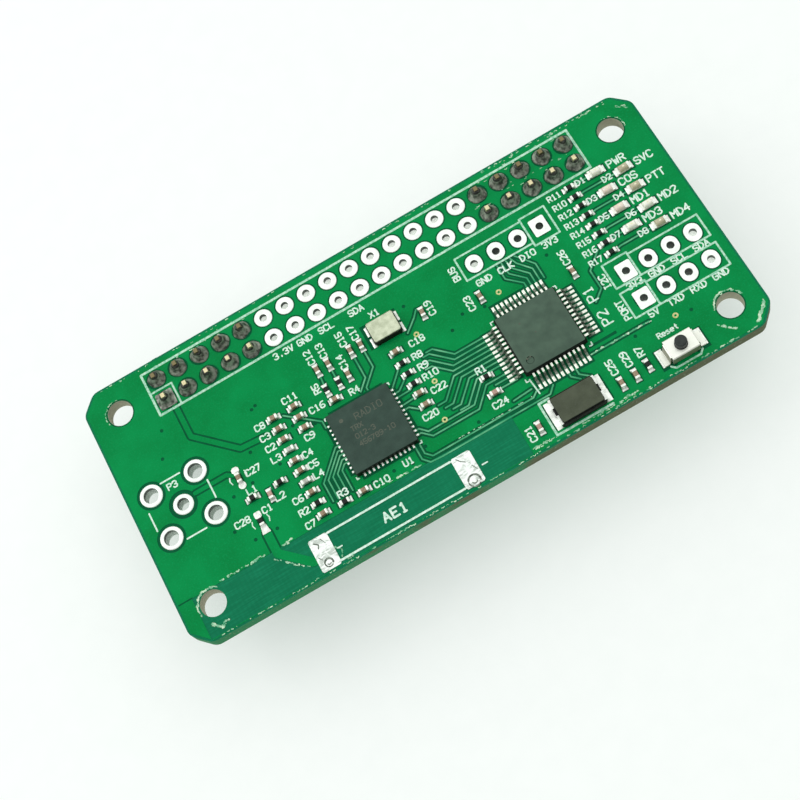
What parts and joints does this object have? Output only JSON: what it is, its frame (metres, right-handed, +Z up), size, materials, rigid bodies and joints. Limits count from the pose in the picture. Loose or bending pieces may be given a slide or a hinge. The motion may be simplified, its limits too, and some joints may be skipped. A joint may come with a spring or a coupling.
{
  "type": "add-on radio board",
  "caption": "Slim circuit board that plugs onto a computer's pin header: radio and controller chips, indicator lamps, a reset button and header sockets underneath.",
  "frame": {"origin": "under the board's centre, in the plane of the header sockets' mating faces", "axes": "+X along the board's long side with the button end positive, +Y towards the header edge, +Z up from the sockets through the components"},
  "size_m": [0.065, 0.03, 0.0124],
  "materials": {
    "solder_resist": "semi-gloss green solder resist over glass-fibre board",
    "socket_moulding": "fine matt black moulding",
    "gilded_contact": "thin gold plating, satin",
    "chip_moulding": "dark grey epoxy with tinned leads",
    "sawn_chip_moulding": "dark grey epoxy, sawn sides",
    "oscillator_ceramic": "fired ceramic, matt",
    "oscillator_lid_plate": "plated lid, satin",
    "crystal_ceramic": "black fired ceramic, matt",
    "crystal_cover": "dark brown ceramic cover",
    "button_base_plastic": "black moulding",
    "button_cover_steel": "bright tinned sheet",
    "snap_dome_steel": "spring steel",
    "plunger_plastic": "black moulding",
    "lamp_resin": "cream diffusing resin",
    "resistor_black": "black glazed top with tinned ends",
    "capacitor_tan": "tan ceramic with tinned ends",
    "inductor_grey": "pale ceramic with tinned ends",
    "solder_tin": "bright solder and tinned copper",
    "silkscreen_ink": "white printed legend"
  },
  "bodies": {
    "board": {"antenna_capacitor": "capacitor_tan", "button_base": "button_base_plastic", "button_cover": "button_cover_steel", "button_dome": "snap_dome_steel", "circuit_board": "solder_resist", "crystal_base": "crystal_ceramic", "crystal_lid": "crystal_cover", "filter_capacitor_1": "capacitor_tan", "filter_capacitor_10": "capacitor_tan", "filter_capacitor_2": "capacitor_tan", "filter_capacitor_3": "capacitor_tan", "filter_capacitor_5": "capacitor_tan", "filter_capacitor_6": "capacitor_tan", "filter_capacitor_8": "capacitor_tan", "filter_inductor_4": "inductor_grey", "filter_inductor_7": "inductor_grey", "filter_resistor_9": "resistor_black", "header_contact_01": "gilded_contact", "header_contact_02": "gilded_contact", "header_contact_03": "gilded_contact", "header_contact_04": "gilded_contact", "header_contact_05": "gilded_contact", "header_contact_06": "gilded_contact", "header_contact_07": "gilded_contact", "header_contact_08": "gilded_contact", "header_contact_09": "gilded_contact", "header_contact_10": "gilded_contact", "header_contact_11": "gilded_contact", "header_contact_12": "gilded_contact", "header_contact_13": "gilded_contact", "header_contact_14": "gilded_contact", "header_contact_15": "gilded_contact", "header_contact_16": "gilded_contact", "header_contact_17": "gilded_contact", "header_contact_18": "gilded_contact", "header_contact_19": "gilded_contact", "header_contact_20": "gilded_contact", "header_socket_left": "socket_moulding", "header_socket_right": "socket_moulding", "indicator_lamp_1": "lamp_resin", "indicator_lamp_2": "lamp_resin", "indicator_lamp_3": "lamp_resin", "indicator_lamp_4": "lamp_resin", "indicator_lamp_5": "lamp_resin", "indicator_lamp_6": "lamp_resin", "indicator_lamp_7": "lamp_resin", "indicator_lamp_8": "lamp_resin", "lamp_resistor_1": "resistor_black", "lamp_resistor_2": "resistor_black", "lamp_resistor_3": "resistor_black", "lamp_resistor_4": "resistor_black", "lamp_resistor_5": "resistor_black", "lamp_resistor_6": "resistor_black", "lamp_resistor_7": "resistor_black", "lamp_resistor_8": "resistor_black", "microcontroller": "chip_moulding", "oscillator_base": "oscillator_ceramic", "oscillator_lid": "oscillator_lid_plate", "radio_transceiver": "sawn_chip_moulding"},
    "reset_plunger": {"button_plunger": "plunger_plastic"}
  },
  "joints": [
    {"name": "reset_press", "type": "slide", "parent": "board", "child": "reset_plunger", "axis": [0, 0, -1], "range_m": [0, 0.00025], "stiffness_N_per_m": 4000, "deforming": ["button_dome"]}
  ]
}
